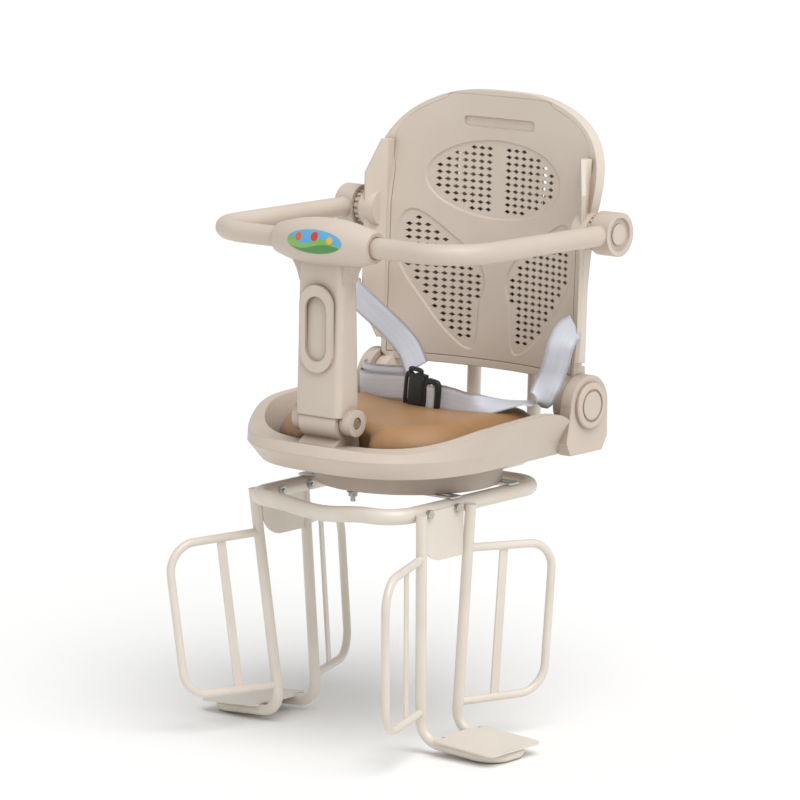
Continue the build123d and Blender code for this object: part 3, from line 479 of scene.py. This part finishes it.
def powder_coat():
    """Cream powder coat: faint orange peel and a clear gloss on top."""
    made, tree = blank("cream powder coat")
    place = put(tree, "TexCoord")
    peel = put(
        tree, "TexNoise", {"Vector": (place, 3), "Scale": 1 / ORANGE_PEEL, "Detail": 2.0}
    )
    drift = put(tree, "TexNoise", {"Vector": (place, 3), "Scale": 14.0, "Detail": 4.0})
    colour = ramp(tree, (drift, 0), STEEL_SHADE, STEEL_LIT, start=0.3, end=0.7)
    gloss = put(tree, "MapRange", {0: (drift, 0), 3: 0.26, 4: 0.4})
    bump = put(tree, "Bump", {"Strength": 0.1, "Distance": 0.0003, "Height": (peel, 0)})
    shader = put(
        tree,
        "BsdfPrincipled",
        {
            "Base Color": (colour, 0),
            "Roughness": (gloss, 0),
            "Coat Weight": 0.25,
            "Coat Roughness": 0.15,
            "Normal": (bump, 0),
        },
    )
    close(tree, shader)
    return made


paint(STEEL_NODES, powder_coat())

# Bolts, nuts, studs, cross straps and hinge pins: zinc plated steel, rolled or turned,
# with the faint streaks that the plating bath leaves.
ZINC_LIT = "#D2D1CB"
ZINC_SHADE = "#A5A49E"
ZINC_STREAK = 0.0012
ZINC_NODES = [
    "cross_strap_front",
    "cross_strap_rear",
    "clamp_studs",
    "clamp_nuts",
    "leg_bolts",
    "leg_nuts",
    "hinge_pins",
    "pivot_bolts",
    "post_pin",
]


def zinc_plate():
    """Bright zinc: streaky reflectance and gloss along the rolling direction."""
    made, tree = blank("zinc plated steel")
    place = put(tree, "TexCoord")
    turned = put(tree, "Mapping", {"Vector": (place, 3), "Scale": (0.12, 1.0, 1.0)})
    streak = put(
        tree, "TexNoise", {"Vector": (turned, 0), "Scale": 1 / ZINC_STREAK, "Detail": 5.0}
    )
    colour = ramp(tree, (streak, 0), ZINC_SHADE, ZINC_LIT, start=0.3, end=0.7)
    gloss = put(tree, "MapRange", {0: (streak, 0), 3: 0.24, 4: 0.45})
    shader = put(
        tree,
        "BsdfPrincipled",
        {"Base Color": (colour, 0), "Metallic": 1.0, "Roughness": (gloss, 0)},
    )
    close(tree, shader)
    return made


paint(ZINC_NODES, zinc_plate())

# Badge on the post's head: a printed oval film with green hills, a blue sky and
# balloons in warm colours, laid on the curved head under a clear gloss.
badge_low, badge_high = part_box("head_badge")
BADGE_HALF = (badge_high[0] - badge_low[0]) / 2
BADGE_MID = (badge_high[2] + badge_low[2]) / 2
SKY = "#5FA9D6"
FAR_HILL = "#7DB456"
NEAR_HILL = "#3F8A3C"
HILLS = [(5.0, 0.02, FAR_HILL), (3.2, -0.13, NEAR_HILL)]
HILL_SWING = 0.08
BALLOONS = [
    (-0.55, 0.112, 0.12, "#D9622B"),
    (0.05, 0.16, 0.132, "#C93A33"),
    (0.6, 0.08, 0.102, "#E9B23C"),
]


def badge_print():
    """Fields of colour: two sine hills below the sky and round balloons in front, all
    measured in half widths of the badge from its middle."""
    made, tree = blank("printed film")
    place = put(tree, "TexCoord")
    scaled = put(
        tree,
        "Mapping",
        {
            "Vector": (place, 3),
            "Location": (0, 0, -BADGE_MID / BADGE_HALF),
            "Scale": (1 / BADGE_HALF, 1 / BADGE_HALF, 1 / BADGE_HALF),
        },
    )
    axes = put(tree, "SeparateXYZ", {0: (scaled, 0)})
    last = linear(SKY)
    for waves, crest, tint in HILLS:
        swing = put(tree, "Math", {0: (axes, 0), 1: waves}, operation="MULTIPLY")
        wave = put(tree, "Math", {0: (swing, 0)}, operation="SINE")
        ridge = put(tree, "Math", {0: (wave, 0), 1: HILL_SWING, 2: crest}, operation="MULTIPLY_ADD")
        below = put(tree, "Math", {0: (axes, 2), 1: (ridge, 0)}, operation="LESS_THAN")
        mixed = put(tree, "Mix", {0: (below, 0), 6: last, 7: linear(tint)}, data_type="RGBA")
        last = (mixed, 2)
    flat = put(tree, "CombineXYZ", {0: (axes, 0), 1: (axes, 2)})
    for across, up, radius, tint in BALLOONS:
        away = put(tree, "VectorMath", {0: (flat, 0), 1: (across, up, 0)}, operation="DISTANCE")
        within = put(tree, "Math", {0: (away, 1), 1: radius}, operation="LESS_THAN")
        mixed = put(tree, "Mix", {0: (within, 0), 6: last, 7: linear(tint)}, data_type="RGBA")
        last = (mixed, 2)
    shader = put(
        tree, "BsdfPrincipled", {"Base Color": last, "Roughness": 0.22, "Coat Weight": 0.6}
    )
    close(tree, shader)
    return made


paint(["head_badge"], badge_print())

# Seat cushion: a foam pad in smooth tan leatherette that lies loose on the pan's floor.
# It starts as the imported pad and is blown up, so that it crowns in the middle.
LEATHER_LIT = "#B98F63"
LEATHER_SHADE = "#A87D50"
# Colour of the painted shade where the pad meets the pan.
LEATHER_PAINTED_SHADE = "#6B4A2A"
LEATHER_PEBBLE = 0.0011
CUSHION_VOXEL = 0.005
CUSHION_PRESSURE = 4.0
CUSHION_STIFFNESS = 30.0
CUSHION_FRAMES = 20
CUSHION_RISE = 0.006
CUSHION_SPREAD = 0.3


def leatherette():
    """Tan leatherette: pebble cells in the bump, a drift in colour and gloss, and painted shade, a
    darker tone from ambient occlusion where the pad meets the pan and in its hollows."""
    made, tree = blank("tan leatherette")
    place = put(tree, "TexCoord")
    pebble = put(tree, "TexVoronoi", {"Vector": (place, 3), "Scale": 1 / LEATHER_PEBBLE})
    drift = put(tree, "TexNoise", {"Vector": (place, 3), "Scale": 12.0, "Detail": 5.0})
    colour = ramp(tree, (drift, 0), LEATHER_SHADE, LEATHER_LIT, start=0.3, end=0.7)
    # Painted shade: ambient occlusion darkens the pad where it meets the pan and in its hollows.
    painted_pad_shade = put(tree, "AmbientOcclusion", {"Distance": 0.06}, samples=8)
    tint = put(
        tree,
        "Mix",
        {0: (painted_pad_shade, 1), 6: linear(LEATHER_PAINTED_SHADE), 7: (colour, 0)},
        data_type="RGBA",
    )
    gloss = put(tree, "MapRange", {0: (drift, 0), 3: 0.38, 4: 0.54})
    bump = put(tree, "Bump", {"Strength": 0.16, "Distance": 0.0002, "Height": (pebble, 0)})
    shader = put(
        tree,
        "BsdfPrincipled",
        {
            "Base Color": (tint, 2),
            "Roughness": (gloss, 0),
            "Sheen Weight": 0.08,
            "Normal": (bump, 0),
        },
    )
    close(tree, shader)
    return made


def coordinates(mesh):
    """Vertex places of a mesh as an array of rows."""
    values = np.empty(len(mesh.vertices) * 3, dtype=np.float32)
    mesh.vertices.foreach_get("co", values)
    return values.reshape(-1, 3)


cushion = bpy.data.objects.new("cushion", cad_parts["seat_cushion"].data.copy())
bpy.context.collection.objects.link(cushion)
bpy.context.view_layer.objects.active = cushion
remesh = cushion.modifiers.new("remesh", "REMESH")
remesh.mode = "VOXEL"
remesh.voxel_size = CUSHION_VOXEL
bpy.ops.object.modifier_apply(modifier="remesh")
start = coordinates(cushion.data).copy()
cloth = cushion.modifiers.new("cloth", "CLOTH")
cloth.settings.use_pressure = True
cloth.settings.uniform_pressure_force = CUSHION_PRESSURE
cloth.settings.effector_weights.gravity = 0.0
cloth.settings.tension_stiffness = CUSHION_STIFFNESS
cloth.settings.compression_stiffness = CUSHION_STIFFNESS
cloth.point_cache.frame_end = CUSHION_FRAMES
for step in range(1, CUSHION_FRAMES + 1):
    bpy.context.scene.frame_set(step)
bpy.ops.object.modifier_apply(modifier="cloth")
bpy.context.scene.frame_set(1)
move = coordinates(cushion.data) - start
share = np.clip((start[:, 2] - start[:, 2].min()) / np.ptp(start[:, 2]), 0, 1)
move = np.clip(move, -CUSHION_RISE, CUSHION_RISE) * share[:, None]
move[:, :2] *= CUSHION_SPREAD
cushion.data.vertices.foreach_set("co", (start + move).ravel())
smooth = cushion.modifiers.new("smooth", "SMOOTH")
smooth.factor = 0.5
smooth.iterations = 6
bpy.ops.object.modifier_apply(modifier="smooth")
subdivide = cushion.modifiers.new("subdivide", "SUBSURF")
subdivide.levels = 1
subdivide.render_levels = 1
cushion.data.materials.clear()
cushion.data.materials.append(leatherette())
cushion.data.shade_smooth()
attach(cushion, "seat")
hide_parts("seat_cushion")

# Harness straps: silver grey polyester webbing, woven flat with firm edges, seamed along
# both edges and sewn back on itself at the buckle. Each run hangs a little slack from the
# buckle to its slot in the backrest's wing, and the lap strap lies double.
WEB_WIDTH = 0.032
WEB_THICK = 0.0015
WEB_LIT = "#D6D8E0"
WEB_SHADE = "#BBBEC9"
WEB_THREAD = "#A9ACB7"
WARP = 0.0016
WEFT = 0.0012
RIB_SHARE = 0.4
STREAK_SHARE = 0.55
STITCH = 0.0034
STITCH_FROM = -0.2
SEAM_IN = 0.0022
SEAM_HALF = 0.00035
WEB_STEPS = 96
WEB_COLUMNS = 9
WEB_EDGE = 12


def smooth_run(points, steps):
    """Smooth run through the points: the curve of even places along its spans, with each
    end carried on straight by one more point."""
    points = np.array(points, dtype=float)
    ends = np.vstack([2 * points[0] - points[1], points, 2 * points[-1] - points[-2]])
    spans = len(points) - 1
    return curve_at(np.linspace(0, spans, steps + 1), ends, spans)


def skin(name, grid, loop):
    """Closed surface over a grid of points: rows are rings, joined to the next ring, and the
    first and last ring are joined in a loop or closed by flat caps."""
    rows, cols = grid.shape[:2]
    ring = np.arange(cols)
    count = rows if loop else rows - 1
    here = np.arange(count)[:, None] * cols
    there = (np.arange(1, count + 1) % rows)[:, None] * cols
    turned = np.roll(ring, -1)
    quads = np.stack([here + ring, here + turned, there + turned, there + ring], axis=-1)
    faces = quads.reshape(-1, 4).tolist()
    if not loop:
        faces += [ring[::-1].tolist(), ((rows - 1) * cols + ring).tolist()]
    mesh = bpy.data.meshes.new(name)
    mesh.from_pydata(grid.reshape(-1, 3).tolist(), [], faces)
    mesh.shade_smooth()
    made = bpy.data.objects.new(name, mesh)
    bpy.context.collection.objects.link(made)
    return made


def strap(name, points, sides):
    """Flat band: a rounded slot profile, WEB_WIDTH by WEB_THICK, carried along a smooth
    run, its width along the smoothed side directions; UV holds metres along and across."""
    run = smooth_run(points, WEB_STEPS)
    along = np.gradient(run, axis=0)
    along /= np.linalg.norm(along, axis=1)[:, None]
    side = smooth_run(sides, WEB_STEPS)
    side -= along * np.sum(side * along, axis=1)[:, None]
    side /= np.linalg.norm(side, axis=1)[:, None]
    face = np.cross(along, side)
    front = np.linspace(-0.5, 0.5, WEB_COLUMNS)
    across = np.concatenate([front, front[::-1]])
    edge = np.sqrt(np.clip(1 - (2 * np.abs(across)) ** WEB_EDGE, 0, 1))
    rise = np.concatenate([edge[:WEB_COLUMNS], -edge[WEB_COLUMNS:]]) * 0.5
    grid = (
        run[:, None]
        + side[:, None] * (across * WEB_WIDTH)[None, :, None]
        + face[:, None] * (rise * WEB_THICK)[None, :, None]
    )
    made = skin(name, grid, False)
    cols = len(across)
    length = np.concatenate([[0], np.cumsum(np.linalg.norm(np.diff(run, axis=0), axis=1))])
    corner = np.empty(len(made.data.loops), dtype=np.int32)
    made.data.loops.foreach_get("vertex_index", corner)
    flat = np.stack([length[corner // cols], across[corner % cols] * WEB_WIDTH], axis=-1)
    layer = made.data.uv_layers.new(name="weave")
    layer.data.foreach_set("uv", flat.astype(np.float32).ravel())
    return made, length[-1]


def webbing():
    """Woven band: crossing ribs from two sine waves on the UV metres, a seam of stitches
    near each edge where a third wave along the band is high, and a satin sheen."""
    made, tree = blank("polyester webbing")
    place = put(tree, "UVMap", uv_map="weave")
    axes = put(tree, "SeparateXYZ", {0: (place, 0)})
    waves = []
    for axis, pitch in ((0, WARP), (1, WEFT), (0, STITCH)):
        turn = put(tree, "Math", {0: (axes, axis), 1: 2 * math.pi / pitch}, operation="MULTIPLY")
        waves.append(put(tree, "Math", {0: (turn, 0)}, operation="SINE"))
    weave = put(tree, "Math", {0: (waves[0], 0), 1: (waves[1], 0)}, operation="MULTIPLY")
    lift = put(tree, "MapRange", {0: (weave, 0), 1: -1.0, 2: 1.0})
    streak = put(tree, "Mapping", {"Vector": (place, 0), "Scale": (12.0, 260.0, 1.0)})
    noise = put(tree, "TexNoise", {"Vector": (streak, 0), "Scale": 1.0, "Detail": 3.0})
    blend = put(tree, "Math", {0: (noise, 0), 1: STREAK_SHARE}, operation="MULTIPLY")
    both = put(
        tree, "Math", {0: (lift, 0), 1: RIB_SHARE, 2: (blend, 0)}, operation="MULTIPLY_ADD"
    )
    colour = ramp(tree, (both, 0), WEB_SHADE, WEB_LIT, start=0.15, end=0.6)
    half = put(tree, "Math", {0: (axes, 1)}, operation="ABSOLUTE")
    near = put(
        tree,
        "Math",
        {0: (half, 0), 1: WEB_WIDTH / 2 - SEAM_IN, 2: SEAM_HALF},
        operation="COMPARE",
    )
    high = put(tree, "Math", {0: (waves[2], 0), 1: STITCH_FROM}, operation="GREATER_THAN")
    seam = put(tree, "Math", {0: (near, 0), 1: (high, 0)}, operation="MULTIPLY")
    thread = put(
        tree, "Mix", {0: (seam, 0), 6: (colour, 0), 7: linear(WEB_THREAD)}, data_type="RGBA"
    )
    raised = put(tree, "Math", {0: (lift, 0), 1: (seam, 0)}, operation="ADD")
    bump = put(tree, "Bump", {"Strength": 0.3, "Distance": 0.0003, "Height": (raised, 0)})
    shader = put(
        tree,
        "BsdfPrincipled",
        {
            "Base Color": (thread, 2),
            "Roughness": 0.32,
            "Anisotropic": 0.5,
            "Sheen Weight": 0.2,
            "Sheen Roughness": 0.35,
            "Normal": (bump, 0),
        },
    )
    close(tree, shader)
    return made


band = webbing()
UP = (0, 0, 1)
LAP_RUN = [
    (-0.0105, 0.034, 0.1265),
    (-0.070, 0.048, 0.120),
    (-0.120, 0.0766, 0.114),
    (-0.144, 0.112, 0.111),
]
LAP_LIFT = (0.006, 0.009)
LAP_RETURN = [(x, y + LAP_LIFT[0], z + LAP_LIFT[1]) for x, y, z in LAP_RUN]
STRAPS = {
    "left_shoulder_strap": (
        [
            (-0.007, 0.041, 0.150),
            (-0.029, 0.052, 0.171),
            (-0.070, 0.066, 0.192),
            (-0.1234, 0.080, 0.2155),
            (-0.154, 0.106, 0.220),
            (-0.164, 0.1275, 0.214),
        ],
        [(0.8, 0.3, 0.3), (0.6, 0.2, 0.5), (0.45, 0.1, 0.7), (0.4, 0.1, 0.8), (0.15, 0.1, 1), UP],
    ),
    "left_lap_strap": (LAP_RUN, [UP] * 4),
    "left_lap_return": (LAP_RETURN, [UP] * 4),
    "right_strap": (
        [
            (0.0165, 0.0285, 0.1195),
            (0.026, 0.027, 0.1182),
            (0.0365, 0.0325, 0.119),
            (0.052, 0.0345, 0.117),
            (0.076, 0.041, 0.112),
            (0.093, 0.056, 0.1145),
            (0.112, 0.086, 0.115),
            (0.1300, 0.0995, 0.1155),
            (0.1337, 0.1075, 0.130),
            (0.1382, 0.1146, 0.147),
            (0.1466, 0.1132, 0.166),
            (0.1535, 0.1106, 0.184),
            (0.1556, 0.1197, 0.199),
            (0.1606, 0.1299, 0.206),
        ],
        [
            UP,
            UP,
            UP,
            (0.02, 0.05, 1),
            (-0.05, 0.1, 1),
            (-0.5, 0.6, 0.45),
            (-0.62, 0.72, 0.02),
            (0.25, 0.95, 0.1),
            (0.74, 0.66, 0.0),
            (0.757, 0.653, 0.0),
            (0.757, 0.653, -0.02),
            (0.75, 0.64, -0.15),
            (0.5, 0.45, -0.7),
            (0.02, 0.02, -1),
        ],
    ),
}
for name, (points, sides) in STRAPS.items():
    piece, length = strap(name + "_band", points, sides)
    piece.data.materials.append(band)
    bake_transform(piece)
    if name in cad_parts:
        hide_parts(name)

# Buckle: a side release pair in black acetal. The socket half has two loops for the left
# straps, and the tongue half is a ladder frame that carries the right strap in its window.
BLACK = "#1C1D1F"
BUCKLE_ALONG = np.array([0.99, -0.1, -0.1])
SOCKET_MID = np.array([0.0022, 0.033, 0.1228])
SOCKET_HALF = (0.0125, 0.0062, 0.0205)
PRONG_HALF = (0.0085, 0.0038, 0.0034)
PRONG_AHEAD = 0.004
PRONG_RISE = 0.0195
NECK_HALF = (0.006, 0.0038, 0.0125)
NECK_AHEAD = 0.001
FRAME_MID = np.array([0.0252, 0.0295, 0.1186])
FRAME_HALF = (0.0096, 0.0195)
LAP_LOOP_HALF = (0.0055, 0.0192)
LAP_LOOP_BACK = 0.0145
TOP_LOOP_HALF = (0.0085, 0.0048)
TOP_LOOP_BACK = 0.006
TOP_LOOP_RISE = 0.0215
LOOP_WIRE = 0.0026
FRAME_WIRE = 0.0034
BLOCK_SQUARE = 0.3
BLOCK_LIFT = 1.56
BLOCK_STEPS = (24, 48)
HOOP_SQUARE = 0.45
WIRE_SQUARE = 0.6
HOOP_STEPS = (64, 16)


def black_acetal():
    """Black moulded acetal: a soft grain in gloss and bump."""
    made, tree = blank("black acetal")
    place = put(tree, "TexCoord")
    grain = put(tree, "TexNoise", {"Vector": (place, 3), "Scale": 900.0, "Detail": 3.0})
    gloss = put(tree, "MapRange", {0: (grain, 0), 3: 0.3, 4: 0.5})
    bump = put(tree, "Bump", {"Strength": 0.1, "Distance": 0.0002, "Height": (grain, 0)})
    shader = put(
        tree,
        "BsdfPrincipled",
        {"Base Color": linear(BLACK), "Roughness": (gloss, 0), "Normal": (bump, 0)},
    )
    close(tree, shader)
    return made


def pillow(name, middle, half, axes):
    """Rounded block: a superellipsoid, each axis a signed power of the cosines and sines of
    the two angles, so that its faces are nearly flat and its edges round."""
    lift = np.linspace(-BLOCK_LIFT, BLOCK_LIFT, BLOCK_STEPS[0] + 1)[:, None]
    turn = np.linspace(0, 2 * math.pi, BLOCK_STEPS[1] + 1)[None, :-1]
    girth = power(np.cos(lift), BLOCK_SQUARE)
    x = girth * power(np.cos(turn), BLOCK_SQUARE) * half[0]
    y = girth * power(np.sin(turn), BLOCK_SQUARE) * half[1]
    z = power(np.sin(lift), BLOCK_SQUARE) * np.ones_like(turn) * half[2]
    grid = middle + x[..., None] * axes[0] + y[..., None] * axes[1] + z[..., None] * axes[2]
    return skin(name, grid, False)


def hoop(name, middle, half, wire, axes):
    """Rounded frame: a squared circle of the half sizes, with a squared circle of the wire
    size carried around it."""
    turn = np.linspace(0, 2 * math.pi, HOOP_STEPS[0] + 1)[:-1, None]
    spin = np.linspace(0, 2 * math.pi, HOOP_STEPS[1] + 1)[None, :-1]
    out = power(np.cos(spin), WIRE_SQUARE) * wire
    deep = power(np.sin(spin), WIRE_SQUARE) * wire * np.ones_like(turn)
    x = power(np.cos(turn), HOOP_SQUARE) * (half[0] + out)
    z = power(np.sin(turn), HOOP_SQUARE) * (half[1] + out)
    grid = middle + x[..., None] * axes[0] + deep[..., None] * axes[1] + z[..., None] * axes[2]
    return skin(name, grid, True)


acetal = black_acetal()
along = BUCKLE_ALONG / np.linalg.norm(BUCKLE_ALONG)
through = np.cross(np.array([0.0, 0.0, 1.0]), along)
through /= np.linalg.norm(through)
AXES = (along, through, np.cross(along, through))
prong_mid = SOCKET_MID + along * PRONG_AHEAD
prongs = [prong_mid + AXES[2] * rise for rise in (-PRONG_RISE, PRONG_RISE)]
lap_loop_mid = SOCKET_MID - along * LAP_LOOP_BACK
top_loop_mid = SOCKET_MID + AXES[2] * TOP_LOOP_RISE - along * TOP_LOOP_BACK
neck_mid = (SOCKET_MID + FRAME_MID) / 2 + along * NECK_AHEAD
socket_parts = [
    pillow("buckle_socket_body", SOCKET_MID, SOCKET_HALF, AXES),
    pillow("buckle_prong_low", prongs[0], PRONG_HALF, AXES),
    pillow("buckle_prong_high", prongs[1], PRONG_HALF, AXES),
    hoop("buckle_lap_loop", lap_loop_mid, LAP_LOOP_HALF, LOOP_WIRE, AXES),
    hoop("buckle_top_loop", top_loop_mid, TOP_LOOP_HALF, LOOP_WIRE, AXES),
]
tongue_parts = [
    hoop("buckle_tongue_frame", FRAME_MID, FRAME_HALF, FRAME_WIRE, AXES),
    pillow("buckle_tongue_neck", neck_mid, NECK_HALF, AXES),
]
for node, parts in (("buckle_socket", socket_parts), ("buckle_tongue", tongue_parts)):
    for piece in parts:
        piece.data.materials.append(acetal)
        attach(piece, "seat")
        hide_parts(node)

# Studio: a wide pale floor under an even white sky, a large soft key light from the upper
# right, and a camera far off with a long lens.
FLOOR_DROP = 0.001
FLOOR_HALF = 30.0
FLOOR_PAINT = "#F6F6F5"
SKY_STRENGTH = 0.56
KEY_FROM = np.array([0.48, -0.16, 0.86])
KEY_STRENGTH = 2.1
KEY_SPREAD = math.radians(50)
CAMERA_AT = (3.6826, -4.6260, 1.1606)
CAMERA_TURN = math.radians(40.77)
CAMERA_TILT = math.radians(90 - 10.46)
CAMERA_LENS = 228.4
CAMERA_SHIFT = (0.246, 0.049)
floor_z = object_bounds()[0][2] - FLOOR_DROP
floor_mesh = bpy.data.meshes.new("floor")
floor_signs = np.array([(-1, -1), (1, -1), (1, 1), (-1, 1)])
floor_corners = [(x, y, floor_z) for x, y in (floor_signs * FLOOR_HALF).tolist()]
floor_mesh.from_pydata(floor_corners, [], [(0, 1, 2, 3)])
floor = bpy.data.objects.new("floor", floor_mesh)
bpy.context.collection.objects.link(floor)
floor_paint, floor_tree = blank("pale floor")
floor_look = {"Base Color": linear(FLOOR_PAINT), "Roughness": 0.8}
close(floor_tree, put(floor_tree, "BsdfPrincipled", floor_look))
floor_mesh.materials.append(floor_paint)

world = bpy.data.worlds.new("studio")
bpy.context.scene.world = world
world.use_nodes = True
sky = world.node_tree.nodes["Background"]
sky.inputs["Color"].default_value = (1, 1, 1, 1)
sky.inputs["Strength"].default_value = SKY_STRENGTH
key = bpy.data.lights.new("key", "SUN")
key.energy = KEY_STRENGTH
key.angle = KEY_SPREAD
key_holder = bpy.data.objects.new("key", key)
bpy.context.collection.objects.link(key_holder)
key_tilt = math.acos(KEY_FROM[2] / np.linalg.norm(KEY_FROM))
key_turn = math.atan2(KEY_FROM[1], KEY_FROM[0]) + math.pi / 2
key_holder.rotation_euler = (key_tilt, 0, key_turn)

camera = bpy.data.cameras.new("photo camera")
camera.lens = CAMERA_LENS
camera.sensor_width = 36.0
camera.shift_x, camera.shift_y = CAMERA_SHIFT
camera.clip_end = 100.0
stand = bpy.data.objects.new("photo camera", camera)
bpy.context.collection.objects.link(stand)
stand.location = CAMERA_AT
stand.rotation_euler = (CAMERA_TILT, 0, CAMERA_TURN)
bpy.context.scene.camera = stand
bpy.context.scene.view_settings.view_transform = "Standard"
